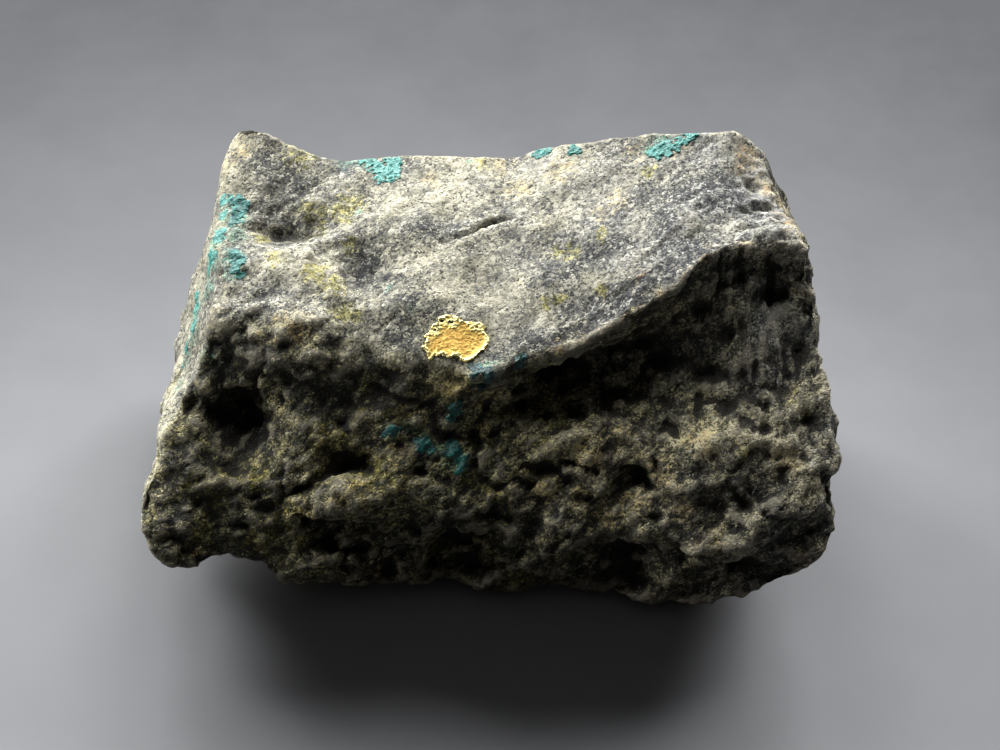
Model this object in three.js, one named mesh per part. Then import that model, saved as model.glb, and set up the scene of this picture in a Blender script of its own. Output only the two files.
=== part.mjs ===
// Gold with atacamite: a hand-sized chip of pale, salt-and-pepper rock, broken on all sides,
// with one flake of native gold on its front lip and blue-green atacamite crusts on its edges.
// Millimetres, +Z up, +X along the long side, the front towards -Y.
// The block rests on the flat of its underside at z = 0.

import * as THREE from 'three';
import { ImprovedNoise } from 'three/addons/math/ImprovedNoise.js';

// ---------------------------------------------------------------- driving dimensions

const BLOCK_LENGTH = 50;           // along X, from the left foot to the right end
const CELL = 1.2;                  // spacing of the points on the rock's surface
const UNDERSIDE = -0.7;            // the underside is modelled this low, then ground flat at z = 0
const SMOOTHING_PASSES = 3;
const SMOOTHING = 0.45;

const GAP = 0.3;                   // clearance between the rock and what sits on it
const GOLD_THICKNESS = 0.3;
const CRUST_THICKNESS = 0.5;
const RIM_THINNING = 0.5;          // a sheet is this share thinner at its rim than in its middle

const ROCK_FINISH = { color: 0x8f8c82, roughness: 0.95, metalness: 0 };
const GOLD_FINISH = { color: 0xd8a63c, roughness: 0.35, metalness: 1 };
const ATACAMITE_FINISH = { color: 0x2f9c86, roughness: 0.75, metalness: 0 };

// ---------------------------------------------------------------- guide lines of the block
//
// Each line runs from the left face to the right end. A point is [x, y, z].
// Listed in order they go once round the block: up the front, over the top, down the back, underneath.

const GUIDES = {
  footFront: [
    [-24.8, -14.7, 6.6], [-22.2, -15.6, 4.6], [-19.6, -13.6, 4.7], [-16.8, -13.6, 3.9], [-14.7, -14.5, 2.8],
    [-4.4, -14.0, 1.7], [6.3, -14.5, 1.2], [15.9, -15.8, 1.7], [20.2, -16.0, 2.8], [23.8, -14.2, 5.4],
  ],
  lowerFront: [
    [-24.9, -12.6, 9.0], [-22.2, -14.1, 7.8], [-18.8, -13.2, 7.1], [-13.8, -13.4, 5.9],
    [-3.8, -13.0, 5.5], [1.5, -13.1, 6.2], [6.4, -12.9, 7.0], [10.9, -13.4, 8.2],
    [15.4, -14.8, 6.8], [19.4, -14.6, 7.8], [25.2, -13.8, 7.2],
  ],
  ledge: [
    [-23.4, -8.9, 11.4], [-21.2, -10.9, 10.1], [-17.6, -11.3, 10.0], [-12.9, -11.9, 9.7],
    [-8.2, -12.0, 9.8], [-3.2, -11.3, 10.1], [1.9, -11.0, 11.4], [6.5, -9.4, 13.0],
    [10.8, -9.4, 13.2], [15.1, -10.3, 12.7], [19.2, -10.5, 12.4], [24.7, -10.3, 11.4],
  ],
  recessFloor: [
    [-22.0, -6.1, 13.7], [-19.6, -6.7, 12.8], [-15.5, -7.2, 12.9], [-11.1, -9.0, 12.0],
    [-6.8, -9.3, 12.1], [-2.4, -8.7, 12.6], [2.1, -7.4, 13.3], [6.6, -5.6, 13.2],
    [11.0, -5.9, 13.6], [15.4, -5.3, 13.8], [19.4, -5.3, 15.3], [24.3, -4.2, 15.6],
  ],
  recessWall: [
    [-20.5, -4.5, 16.5], [-17.7, -4.8, 17.0], [-13.9, -5.5, 16.4], [-10.0, -7.0, 14.6],
    [-6.0, -7.8, 14.3], [-1.9, -7.7, 15.1], [2.2, -5.9, 15.4], [6.6, -3.9, 15.0],
    [10.9, -3.2, 16.8], [15.3, -0.7, 18.9], [19.4, 0.1, 20.2], [23.0, -0.4, 19.6],
  ],
  ridge: [
    [-19.3, -2.9, 19.2], [-16.7, -3.1, 19.7], [-13.4, -4.5, 19.5], [-9.6, -4.6, 17.9],
    [-5.6, -6.2, 17.3], [-1.7, -7.7, 17.2], [2.2, -6.7, 17.9], [6.5, -6.1, 18.6],
    [10.7, -4.3, 20.4], [15.0, -1.5, 22.3], [19.0, 0.8, 22.6], [22.4, 1.3, 21.8],
  ],
  topFront: [
    [-19.3, 0.3, 19.5], [-13.7, 0.7, 20.1], [-9.7, -1.2, 19.4], [-5.7, -2.1, 19.6],
    [2.2, -2.5, 19.6], [6.5, -1.9, 20.5], [10.8, -0.8, 21.4], [15.1, 1.2, 22.9], [21.9, 3.5, 22.3],
  ],
  topMiddle: [
    [-19.7, 3.9, 19.7], [-13.9, 3.6, 19.7], [-9.8, 2.5, 20.4], [-1.8, 2.8, 20.7],
    [2.3, 2.4, 21.0], [6.6, 2.5, 21.4], [10.9, 2.9, 22.4], [15.2, 4.0, 23.4], [21.3, 5.1, 22.6],
  ],
  topBack: [
    [-19.9, 8.9, 20.9], [-14.0, 7.5, 20.9], [-9.9, 6.9, 20.9], [-5.9, 6.9, 21.4],
    [2.3, 7.2, 21.5], [6.7, 7.0, 22.2], [11.0, 7.1, 23.1], [15.3, 7.1, 23.9], [20.8, 6.6, 22.7],
  ],
  backRim: [
    [-20.3, 13.2, 21.5], [-18.3, 13.4, 22.8], [-14.1, 11.8, 21.6], [-10.1, 11.5, 21.5],
    [-6.0, 11.5, 22.1], [-1.8, 11.2, 21.7], [2.3, 11.5, 21.9], [6.7, 11.0, 22.9],
    [11.1, 11.1, 24.0], [15.4, 10.4, 24.7], [18.8, 10.0, 25.0], [20.5, 9.8, 23.8],
  ],
  backUpper: [
    [-20.3, 13.6, 15.5], [-15.0, 13.6, 16.0], [-6.0, 13.2, 15.5], [2.0, 12.8, 15.0],
    [10.0, 13.2, 16.0], [17.0, 12.2, 16.5], [23.4, 10.8, 15.5],
  ],
  backLower: [
    [-22.8, 13.0, 9.0], [-16.0, 13.3, 8.6], [-7.0, 12.0, 8.0], [3.0, 11.5, 7.4],
    [11.0, 12.8, 8.4], [18.0, 12.3, 8.2], [24.2, 10.4, 8.4],
  ],
  footBack: [
    [-24.8, 11.4, 4.6], [-16.0, 12.0, 1.8], [-6.0, 10.6, 0.9], [4.0, 9.8, 1.0],
    [12.0, 11.0, 1.0], [19.0, 10.0, 2.4], [23.2, 8.6, 4.6],
  ],
  underBack: [
    [-24.6, 6.0, 4.4], [-19.0, 6.5, 2.0], [-13.5, 6.5, UNDERSIDE], [12.0, 5.5, UNDERSIDE],
    [18.0, 5.0, 1.6], [23.0, 4.0, 3.8],
  ],
  underFront: [
    [-24.6, -8.0, 4.4], [-19.0, -9.0, 2.2], [-13.5, -9.5, UNDERSIDE], [12.0, -10.5, UNDERSIDE],
    [18.0, -10.5, 1.0], [22.6, -9.0, 3.2],
  ],
};

// Lines that stay sharp, and how sharp: 1 is a knife edge, 0 is rounded over.
const CREASES = { footFront: 0.6, ledge: 0.4, ridge: 0.9, backRim: 0.8, footBack: 0.6 };
const END_CREASE = 0.7;            // the edges of the left face and of the right end

// The two end faces stand this far out beyond their edges at their middle.
const LEFT_FACE_BULGE = 0.3;
const RIGHT_END_BULGE = 1.1;

// ---------------------------------------------------------------- broken relief
//
// The block broke along small planes: each cell of rock round a seed point is its own little facet.

const FACET_SPACING = 5.5;
const FACET_STEP = 0.38;           // how far one facet stands proud of the next
const FACET_TILT = 0.1;            // slope of a facet against the face it is on
const FACETS_ON_TOP = 0.25;        // the top broke smooth, with a quarter of that relief

const FACET_SEED = 20;
const FACET_SCATTER = 0.9;         // how far a seed strays from its place in the lattice, in spacings
const FACET_REGION = { low: [-27, -17, -2], high: [27, 16, 29] };
const TOP_STARTS = 16;             // the top is what faces up from this height
const TOP_SLOPE = [0.55, 0.8];     // how far a surface's normal points up, from side to top

const RELIEF = [
  { wavelength: 9.0, height: 0.35 },
  { wavelength: 4.2, height: 0.3 },
  { wavelength: 2.4, height: 0.2 },
];

// ---------------------------------------------------------------- hollows and lumps
//
// Each pushes the surface within its radius (along X, Y, Z) by its depth, towards a direction.

const INTO_FRONT = [0, 1, 0];
const OUT_OF_FRONT = [0, -1, 0.2];
const DOWN = [0, 0, -1];
const UP = [0, 0, 1];

const HOLLOWS = {
  leftPit: { at: [-18.3, -8.0, 11.2], radius: [4.0, 6.0, 3.6], depth: 4.0, towards: [0.1, 1, -0.1] },
  underRidge: { at: [5.5, -5.6, 14.8], radius: [3.8, 5.0, 2.6], depth: 2.2, towards: INTO_FRONT },
  rightRecess: { at: [11.8, -4.8, 15.8], radius: [4.5, 5.0, 3.6], depth: 1.6, towards: INTO_FRONT },
  rightSlot: { at: [20.3, -1.6, 20.0], radius: [1.9, 4.0, 3.2], depth: 2.4, towards: INTO_FRONT },
  rightEndPit: { at: [22.3, -2.8, 18.0], radius: [1.8, 3.5, 2.0], depth: 1.8, towards: INTO_FRONT },
  pitBelowLedge: { at: [9.8, -12.0, 9.6], radius: [2.6, 4.0, 2.2], depth: 1.5, towards: INTO_FRONT },
  grooveBelowLedge: { at: [16.4, -13.4, 9.0], radius: [3.0, 4.0, 1.7], depth: 1.2, towards: INTO_FRONT },
  leftGroove: { at: [-11.6, -11.2, 10.9], radius: [2.4, 3.5, 1.7], depth: 1.1, towards: INTO_FRONT },
  leftLowerPit: { at: [-12.4, -13.2, 6.6], radius: [2.0, 4.0, 1.9], depth: 1.6, towards: INTO_FRONT },
  nextLowerPit: { at: [-9.5, -13.2, 6.2], radius: [2.0, 4.0, 1.6], depth: 1.3, towards: INTO_FRONT },
  middleHollow: { at: [-2.1, -13.8, 4.7], radius: [4.0, 5.0, 2.3], depth: 2.0, towards: INTO_FRONT },
  undercut: { at: [9.3, -14.4, 4.4], radius: [4.5, 5.0, 2.4], depth: 2.0, towards: INTO_FRONT },
  rightUndercut: { at: [17.0, -15.4, 4.2], radius: [5.5, 5.0, 2.8], depth: 1.2, towards: INTO_FRONT },
  creviceBehindBench: { at: [-15.0, 4.7, 20.0], radius: [5.0, 1.9, 3.0], depth: 1.0, towards: DOWN },
  flankOfBench: { at: [-8.9, 0.8, 20.0], radius: [3.0, 4.2, 3.0], depth: 0.9, towards: DOWN },
};

const LUMPS = {
  leftEdge: { at: [-25.2, -11.9, 8.4], radius: [2.5, 3.5, 3.0], depth: 0.6, towards: [-1, 0, 0] },
  bench: { at: [-14.8, 1.2, 19.8], radius: [5.5, 4.0, 3.0], depth: 0.7, towards: UP },
  nodules: { at: [-10.2, -12.8, 8.8], radius: [3.4, 3.0, 1.7], depth: 0.9, towards: OUT_OF_FRONT },
  undercutLip: { at: [15.5, -14.4, 6.3], radius: [4.0, 3.0, 1.6], depth: 0.6, towards: OUT_OF_FRONT },
  curvedRib: { at: [20.6, -12.8, 8.6], radius: [3.4, 3.0, 1.7], depth: 0.6, towards: OUT_OF_FRONT },
  backCorner: { at: [18.6, 8.9, 24.1], radius: [3.0, 4.0, 3.0], depth: 0.4, towards: UP },
};

// ---------------------------------------------------------------- gold and atacamite
//
// at is near the rock's surface, facing is the way the sheet looks out. Outlines lie in that plane.

const DROP_HEIGHT = 6;             // points are dropped onto the rock from this far above it
const CRUST_POINTS_LEAST = 10;
const CRUST_POINTS_PER_MM = 1.6;
const CRUST_RINGS = 2;
const CRUST_UNEVENNESS = 0.14;     // each of two sets of lobes moves the edge by this share
const GOLD_RINGS = 3;

const GOLD = {
  at: [-2.4, -5.2, 18.3],
  facing: [0, -0.6, 0.8],
  outline: [
    [-1.2, 1.7], [-1.5, 1.1], [-1.8, 0.7], [-1.9, 0.2], [-2.4, -0.6], [-2.0, -1.3], [-1.5, -1.6],
    [-0.7, -1.3], [0.0, -1.3], [0.4, -1.6], [1.0, -1.7], [1.6, -1.2], [2.2, -0.8], [2.4, -0.2],
    [2.0, 0.3], [2.2, 0.7], [1.8, 1.3], [0.8, 1.3], [0.2, 1.7],
  ],
};

const TOP_BACK = [0, -0.45, 0.9];
const TOP_EDGE = [-0.25, -0.3, 0.9];
const LEFT_FACE = [-0.88, -0.1, 0.45];
const FRONT = [0, -0.93, 0.36];
const UPRIGHT = Math.PI / 2;

const CRUSTS = {
  back_left: { at: [-8.0, 9.5, 21.6], facing: TOP_BACK, length: 2.6, width: 1.9, turn: -0.3, wobble: 1 },
  back_middle: { at: [3.8, 10.6, 22.1], facing: TOP_BACK, length: 1.2, width: 1.0, turn: 0, wobble: 2 },
  back_right: { at: [13.2, 8.8, 23.9], facing: TOP_BACK, length: 3.9, width: 1.7, turn: 0.45, wobble: 3 },
  edge_back: { at: [-18.8, 5.2, 20.9], facing: TOP_EDGE, length: 3.2, width: 1.0, turn: UPRIGHT, wobble: 4 },
  edge_front: { at: [-18.6, 1.1, 19.8], facing: TOP_EDGE, length: 2.1, width: 1.2, turn: UPRIGHT, wobble: 5 },
  face_upper: { at: [-20.8, 3.8, 18.2], facing: LEFT_FACE, length: 6.0, width: 1.7, turn: 0.1, wobble: 1 },
  face_middle: { at: [-21.7, 0.2, 15.2], facing: LEFT_FACE, length: 3.0, width: 1.8, turn: -0.3, wobble: 2 },
  face_lower: { at: [-22.8, -0.6, 11.7], facing: LEFT_FACE, length: 2.6, width: 1.4, turn: 0.6, wobble: 3 },
  under_gold: { at: [-0.4, -7.9, 17.0], facing: FRONT, length: 1.9, width: 1.7, turn: 0.5, wobble: 4 },
  lip: { at: [2.2, -7.0, 17.5], facing: FRONT, length: 0.9, width: 0.9, turn: 0, wobble: 5 },
  front_upper: { at: [-2.3, -7.8, 13.8], facing: FRONT, length: 1.5, width: 1.1, turn: UPRIGHT, wobble: 1 },
  front_left: { at: [-7.0, -9.1, 12.7], facing: FRONT, length: 1.2, width: 0.8, turn: 0, wobble: 2 },
  front_middle: { at: [-4.8, -9.5, 12.1], facing: FRONT, length: 1.9, width: 1.0, turn: -0.3, wobble: 3 },
  front_lower: { at: [-2.3, -9.8, 11.1], facing: FRONT, length: 2.3, width: 1.4, turn: 1.9, wobble: 4 },
};

// ---------------------------------------------------------------- helpers

function seededRandom(seed) {
  let state = seed;
  return function next() {
    state = (state * 16807) % 2147483647;
    return state / 2147483647;
  };
}

function guideLine(points) {
  const first = points[0][0];
  const last = points[points.length - 1][0];
  const slopes = points.map((point, index) => {
    const before = points[Math.max(index - 1, 0)];
    const after = points[Math.min(index + 1, points.length - 1)];
    return [1, 2].map((axis) => (after[axis] - before[axis]) / (after[0] - before[0]));
  });
  return function pointAt(share) {
    const x = first + (last - first) * share;
    let index = 0;
    while (index < points.length - 2 && x > points[index + 1][0]) index += 1;
    const start = points[index];
    const end = points[index + 1];
    const span = end[0] - start[0];
    const u = THREE.MathUtils.clamp((x - start[0]) / span, 0, 1);
    const hermite = (axis) => {
      const startSlope = slopes[index][axis - 1] * span;
      const endSlope = slopes[index + 1][axis - 1] * span;
      const a = 2 * start[axis] - 2 * end[axis] + startSlope + endSlope;
      const b = -3 * start[axis] + 3 * end[axis] - 2 * startSlope - endSlope;
      return ((a * u + b) * u + startSlope) * u + start[axis];
    };
    return new THREE.Vector3(x, hermite(1), hermite(2));
  };
}

// Triangles between two closed rings of point numbers that may differ in count.
function stitch(outer, inner, triangles) {
  let i = 0;
  let j = 0;
  while (i < outer.length || j < inner.length) {
    const outerNext = outer[(i + 1) % outer.length];
    const innerNext = inner[(j + 1) % inner.length];
    const outerHere = outer[i % outer.length];
    const innerHere = inner[j % inner.length];
    const takeOuter = j >= inner.length
      || (i < outer.length && (i + 1) / outer.length <= (j + 1) / inner.length);
    if (takeOuter) {
      triangles.push([outerHere, outerNext, innerHere]);
      i += 1;
    } else {
      triangles.push([outerHere, innerNext, innerHere]);
      j += 1;
    }
  }
}

function flip(triangles) {
  return triangles.map(([a, b, c]) => [a, c, b]);
}

function meshGeometry(points, triangles) {
  const geometry = new THREE.BufferGeometry();
  geometry.setFromPoints(points);
  geometry.setIndex(triangles.flat());
  geometry.computeVertexNormals();
  return geometry;
}

// ---------------------------------------------------------------- the block before it broke

function blockSkeleton() {
  const names = Object.keys(GUIDES);
  const lines = names.map((name) => guideLine(GUIDES[name]));
  const columns = Math.round(BLOCK_LENGTH / CELL);
  const points = [];
  const triangles = [];
  const creases = [];

  // One closed ring of points round the block in each column, with the same rows in all of them.
  const steps = lines.map((line, index) => {
    const next = lines[(index + 1) % lines.length];
    return Math.max(1, Math.round(line(0.5).distanceTo(next(0.5)) / CELL));
  });
  const rows = steps.reduce((total, count) => total + count, 0);
  for (let column = 0; column <= columns; column += 1) {
    const share = column / columns;
    lines.forEach((line, index) => {
      const start = line(share);
      const end = lines[(index + 1) % lines.length](share);
      for (let step = 0; step < steps[index]; step += 1) {
        points.push(start.clone().lerp(end, step / steps[index]));
        const row = (points.length - 1) % rows;
        const sharpness = step === 0 ? CREASES[names[index]] ?? 0 : 0;
        if (sharpness > 0 && column > 0 && column < columns) {
          creases.push({ point: points.length - 1, sharpness, along: [-rows, rows] });
        }
        if (column === 0 || column === columns) {
          const before = row === 0 ? rows - 1 : -1;
          const after = row === rows - 1 ? 1 - rows : 1;
          creases.push({ point: points.length - 1, sharpness: END_CREASE, along: [before, after] });
        }
      }
    });
  }
  for (let column = 0; column < columns; column += 1) {
    for (let row = 0; row < rows; row += 1) {
      const a = column * rows + row;
      const b = column * rows + (row + 1) % rows;
      triangles.push([a, a + rows, b + rows], [a, b + rows, b]);
    }
  }

  const ringOf = (column) => Array.from({ length: rows }, (_, row) => column * rows + row);
  triangles.push(...endFace(points, ringOf(0), -LEFT_FACE_BULGE));
  triangles.push(...flip(endFace(points, ringOf(columns), RIGHT_END_BULGE)));
  return { points, triangles, creases };
}

// A broken end face: rings that shrink to the middle of the edge loop, bulging by bulge along X.
function endFace(points, edge, bulge) {
  const centre = new THREE.Vector3();
  edge.forEach((index) => centre.add(points[index]));
  centre.divideScalar(edge.length);
  const radius = edge.reduce((sum, index) => sum + points[index].distanceTo(centre), 0) / edge.length;
  const ringCount = Math.round(radius / CELL);
  const triangles = [];
  let outer = edge;
  for (let ring = 1; ring < ringCount; ring += 1) {
    const size = 1 - ring / ringCount;
    const count = Math.max(5, Math.round(edge.length * size));
    const inner = [];
    for (let step = 0; step < count; step += 1) {
      const place = (step / count) * edge.length;
      const from = points[edge[Math.floor(place)]];
      const to = points[edge[(Math.floor(place) + 1) % edge.length]];
      const point = from.clone().lerp(to, place % 1).lerp(centre, 1 - size);
      point.x += bulge * (1 - size * size);
      inner.push(points.length);
      points.push(point);
    }
    stitch(outer, inner, triangles);
    outer = inner;
  }
  const middle = points.length;
  points.push(centre.setX(centre.x + bulge));
  outer.forEach((index, step) => triangles.push([index, outer[(step + 1) % outer.length], middle]));
  return triangles;
}

// ---------------------------------------------------------------- wear, dents and lumps

function neighboursOf(pointCount, triangles) {
  const neighbours = Array.from({ length: pointCount }, () => new Set());
  triangles.forEach((triangle) => {
    triangle.forEach((index, corner) => {
      neighbours[index].add(triangle[(corner + 1) % 3]);
      neighbours[index].add(triangle[(corner + 2) % 3]);
    });
  });
  return neighbours.map((set) => [...set]);
}

function average(points, indices) {
  const sum = new THREE.Vector3();
  indices.forEach((index) => sum.add(points[index]));
  return sum.divideScalar(indices.length);
}

// Rounds the block over, except across its creases, which are only evened out along their length.
function wear(points, triangles, creases) {
  const neighbours = neighboursOf(points.length, triangles);
  const creaseAt = new Map(creases.map((crease) => [crease.point, crease]));
  for (let pass = 0; pass < SMOOTHING_PASSES; pass += 1) {
    const before = points.map((point) => point.clone());
    points.forEach((point, index) => {
      const crease = creaseAt.get(index);
      const target = average(before, neighbours[index]);
      if (crease) {
        const along = crease.along.map((offset) => index + offset);
        target.lerp(average(before, along), crease.sharpness);
      }
      point.lerp(target, crease ? SMOOTHING * (1 - crease.sharpness) : SMOOTHING);
    });
  }
}

function pointNormals(points, triangles) {
  const normals = points.map(() => new THREE.Vector3());
  triangles.forEach(([a, b, c]) => {
    const side = points[b].clone().sub(points[a]);
    const face = side.cross(points[c].clone().sub(points[a]));
    [a, b, c].forEach((index) => normals[index].add(face));
  });
  return normals.map((normal) => normal.normalize());
}

// Each hollow pushes the surface along its own direction, fading out at its radius.
function press(points, marks) {
  Object.values(marks).forEach(({ at, radius, depth, towards }) => {
    const centre = new THREE.Vector3(...at);
    const push = new THREE.Vector3(...towards).normalize();
    points.forEach((point) => {
      const away = point.clone().sub(centre);
      const distance = Math.hypot(away.x / radius[0], away.y / radius[1], away.z / radius[2]);
      if (distance < 1) point.addScaledVector(push, depth * (1 - distance * distance) ** 2);
    });
  });
}

function facetSeeds() {
  const random = seededRandom(FACET_SEED);
  const jitter = () => (random() - 0.5) * FACET_SPACING * FACET_SCATTER;
  const { low, high } = FACET_REGION;
  const seeds = [];
  for (let x = low[0]; x <= high[0]; x += FACET_SPACING) {
    for (let y = low[1]; y <= high[1]; y += FACET_SPACING) {
      for (let z = low[2]; z <= high[2]; z += FACET_SPACING) {
        const place = new THREE.Vector3(x + jitter(), y + jitter(), z + jitter());
        const tilt = new THREE.Vector3(random() - 0.5, random() - 0.5, random() - 0.5);
        seeds.push({ place, tilt: tilt.multiplyScalar(2 * FACET_TILT), level: random() * 2 - 1 });
      }
    }
  }
  return seeds;
}

// Raises or lowers each point along its normal: by the facet that it is on, and by rolling relief.
function fracture(points, triangles) {
  const noise = new ImprovedNoise();
  const seeds = facetSeeds();
  const normals = pointNormals(points, triangles);
  points.forEach((point, index) => {
    const normal = normals[index];
    let nearest = seeds[0];
    let nearestDistance = Infinity;
    seeds.forEach((seed) => {
      const distance = point.distanceToSquared(seed.place);
      if (distance < nearestDistance) {
        nearest = seed;
        nearestDistance = distance;
      }
    });
    const isTop = THREE.MathUtils.smoothstep(normal.z, ...TOP_SLOPE) * (point.z > TOP_STARTS ? 1 : 0);
    const strength = THREE.MathUtils.lerp(1, FACETS_ON_TOP, isTop);
    const facet = nearest.level * FACET_STEP + nearest.tilt.dot(point.clone().sub(nearest.place));
    const relief = RELIEF.reduce((sum, { wavelength, height }) => {
      const place = point.clone().divideScalar(wavelength);
      return sum + 2 * height * noise.noise(place.x + wavelength, place.y, place.z);
    }, 0);
    point.addScaledVector(normal, strength * facet + relief * (0.5 + 0.5 * strength));
  });
}

function buildRock() {
  const { points, triangles, creases } = blockSkeleton();
  wear(points, triangles, creases);
  press(points, HOLLOWS);
  press(points, LUMPS);
  fracture(points, triangles);
  points.forEach((point) => point.setZ(Math.max(point.z, 0)));
  return meshGeometry(points, triangles);
}

// ---------------------------------------------------------------- what grew on the rock

// A thin sheet that follows the rock: its outline is drawn in the plane that it faces,
// and every point of it is dropped onto the rock, then raised by the gap and its thickness.
function sheetOn(rock, { at, facing, outline, thickness, rings }) {
  const out = new THREE.Vector3(...facing).normalize();
  const right = new THREE.Vector3(0, 0, 1).cross(out).normalize();
  const up = out.clone().cross(right);
  const centre = new THREE.Vector3(...at);
  const ray = new THREE.Raycaster();
  const top = [];
  const bottom = [];

  const drop = (u, v, share) => {
    for (let shrink = 1; shrink > 0; shrink -= 0.1) {
      const start = centre.clone().addScaledVector(right, u * shrink).addScaledVector(up, v * shrink);
      ray.set(start.addScaledVector(out, DROP_HEIGHT), out.clone().negate());
      const hit = ray.intersectObject(rock, false)[0];
      if (hit && Math.abs(hit.distance - DROP_HEIGHT) < DROP_HEIGHT / 2) {
        const rise = GAP + thickness * (1 - RIM_THINNING * share * share);
        bottom.push(hit.point.clone().addScaledVector(out, GAP));
        top.push(hit.point.clone().addScaledVector(out, rise));
        return;
      }
    }
    throw new Error('a sheet has no rock under it');
  };

  const triangles = [];
  let outer = null;
  for (let ring = 0; ring < rings; ring += 1) {
    const size = 1 - ring / rings;
    const count = ring === 0 ? outline.length : Math.max(4, Math.round(outline.length * size));
    const inner = [];
    for (let step = 0; step < count; step += 1) {
      const place = (step / count) * outline.length;
      const from = outline[Math.floor(place)];
      const to = outline[(Math.floor(place) + 1) % outline.length];
      const u = THREE.MathUtils.lerp(from[0], to[0], place % 1) * size;
      const v = THREE.MathUtils.lerp(from[1], to[1], place % 1) * size;
      inner.push(top.length);
      drop(u, v, size);
    }
    if (outer) stitch(outer, inner, triangles);
    outer = inner;
  }
  drop(0, 0, 0);
  outer.forEach((index, step) => {
    triangles.push([index, outer[(step + 1) % outer.length], top.length - 1]);
  });

  const underside = flip(triangles).map((triangle) => triangle.map((index) => index + top.length));
  const rim = outline.flatMap((_, index) => {
    const next = (index + 1) % outline.length;
    return [[index, index + top.length, next + top.length], [index, next + top.length, next]];
  });
  return meshGeometry([...top, ...bottom], [...triangles, ...underside, ...rim]);
}

// The outline of a crust: an oval with an uneven edge, turned in its plane.
function unevenOval({ length, width, turn, wobble }) {
  const count = Math.max(CRUST_POINTS_LEAST, Math.round((length + width) * CRUST_POINTS_PER_MM));
  return Array.from({ length: count }, (_, step) => {
    const angle = (step / count) * 2 * Math.PI;
    const lobes = Math.sin(3 * angle + wobble) + Math.sin(5 * angle + 2 * wobble);
    const edge = 1 + CRUST_UNEVENNESS * lobes;
    const u = (length / 2) * Math.cos(angle) * edge;
    const v = (width / 2) * Math.sin(angle) * edge;
    return [u * Math.cos(turn) - v * Math.sin(turn), u * Math.sin(turn) + v * Math.cos(turn)];
  });
}

// ---------------------------------------------------------------- the specimen

function piece(name, geometry, finish) {
  const mesh = new THREE.Mesh(geometry, new THREE.MeshStandardMaterial(finish));
  mesh.name = name;
  return mesh;
}

const rock = piece('rock', buildRock(), ROCK_FINISH);
const goldSheet = sheetOn(rock, { ...GOLD, thickness: GOLD_THICKNESS, rings: GOLD_RINGS });
const goldLeaf = piece('gold_leaf', goldSheet, GOLD_FINISH);
const crusts = Object.entries(CRUSTS).map(([name, { at, facing, ...oval }]) => {
  const sheet = { at, facing, outline: unevenOval(oval), thickness: CRUST_THICKNESS, rings: CRUST_RINGS };
  return piece(`atacamite_${name}`, sheetOn(rock, sheet), ATACAMITE_FINISH);
});

// The origin is in the middle of the block's footprint, on the surface that it rests on.
rock.geometry.computeBoundingBox();
const middle = rock.geometry.boundingBox.getCenter(new THREE.Vector3());
const specimen = new THREE.Group();
specimen.add(rock, goldLeaf, ...crusts);
specimen.position.set(-middle.x, -middle.y, 0);

export default specimen;
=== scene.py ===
"""Gold with atacamite: a broken chip of grained rock with a flake of gold and blue-green crusts.

Lengths are in millimetres in this script, and turned into metres where a mesh or object is made.
"""

import math

import bmesh
import bpy
import numpy as np
from mathutils import Euler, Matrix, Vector, noise
from mathutils.bvhtree import BVHTree


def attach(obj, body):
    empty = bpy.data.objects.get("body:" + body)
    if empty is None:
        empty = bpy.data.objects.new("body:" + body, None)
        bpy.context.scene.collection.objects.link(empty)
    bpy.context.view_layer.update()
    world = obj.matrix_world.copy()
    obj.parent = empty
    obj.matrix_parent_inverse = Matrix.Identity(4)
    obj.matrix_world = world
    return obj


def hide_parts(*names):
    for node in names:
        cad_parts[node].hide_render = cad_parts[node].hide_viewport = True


MM = 0.001

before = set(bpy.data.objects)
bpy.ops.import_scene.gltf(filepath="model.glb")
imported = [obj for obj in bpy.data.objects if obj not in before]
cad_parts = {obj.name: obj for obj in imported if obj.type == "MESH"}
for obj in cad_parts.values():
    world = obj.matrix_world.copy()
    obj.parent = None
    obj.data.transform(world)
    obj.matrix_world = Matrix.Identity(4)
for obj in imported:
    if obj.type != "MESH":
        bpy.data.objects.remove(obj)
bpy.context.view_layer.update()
lit_pieces = bpy.data.collections.new("lit_pieces")


# -------------------- meshes and points

def points_of(mesh):
    flat = np.empty(len(mesh.vertices) * 3)
    mesh.vertices.foreach_get("co", flat)
    return flat.reshape(-1, 3) / MM


def normals_of(mesh):
    flat = np.empty(len(mesh.vertices) * 3)
    mesh.vertices.foreach_get("normal", flat)
    return flat.reshape(-1, 3)


def set_points(mesh, points):
    mesh.vertices.foreach_set("co", (points * MM).ravel())
    mesh.update()


def edges_of(mesh):
    flat = np.empty(len(mesh.edges) * 2, dtype=np.int64)
    mesh.edges.foreach_get("vertices", flat)
    return flat.reshape(-1, 2)


def spread(values, edges, passes):
    """Each pass replaces a value at a vertex by the average of its neighbours' values."""
    values = values.astype(float)
    count = np.bincount(edges.ravel(), minlength=len(values)).astype(float)
    count = count.reshape((-1,) + (1,) * (values.ndim - 1))
    for _ in range(passes):
        total = np.zeros_like(values)
        np.add.at(total, edges[:, 0], values[edges[:, 1]])
        np.add.at(total, edges[:, 1], values[edges[:, 0]])
        values = total / count
    return values


def ramp(values, low, high):
    share = np.clip((values - low) / (high - low), 0, 1)
    return share * share * (3 - 2 * share)


def attribute(mesh, name, values):
    layer = mesh.attributes.new(name, "FLOAT", "POINT")
    layer.data.foreach_set("value", np.asarray(values, dtype=np.float32))


def add_object(name, mesh):
    piece = bpy.data.objects.new(name, mesh)
    bpy.context.scene.collection.objects.link(piece)
    return piece


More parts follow.
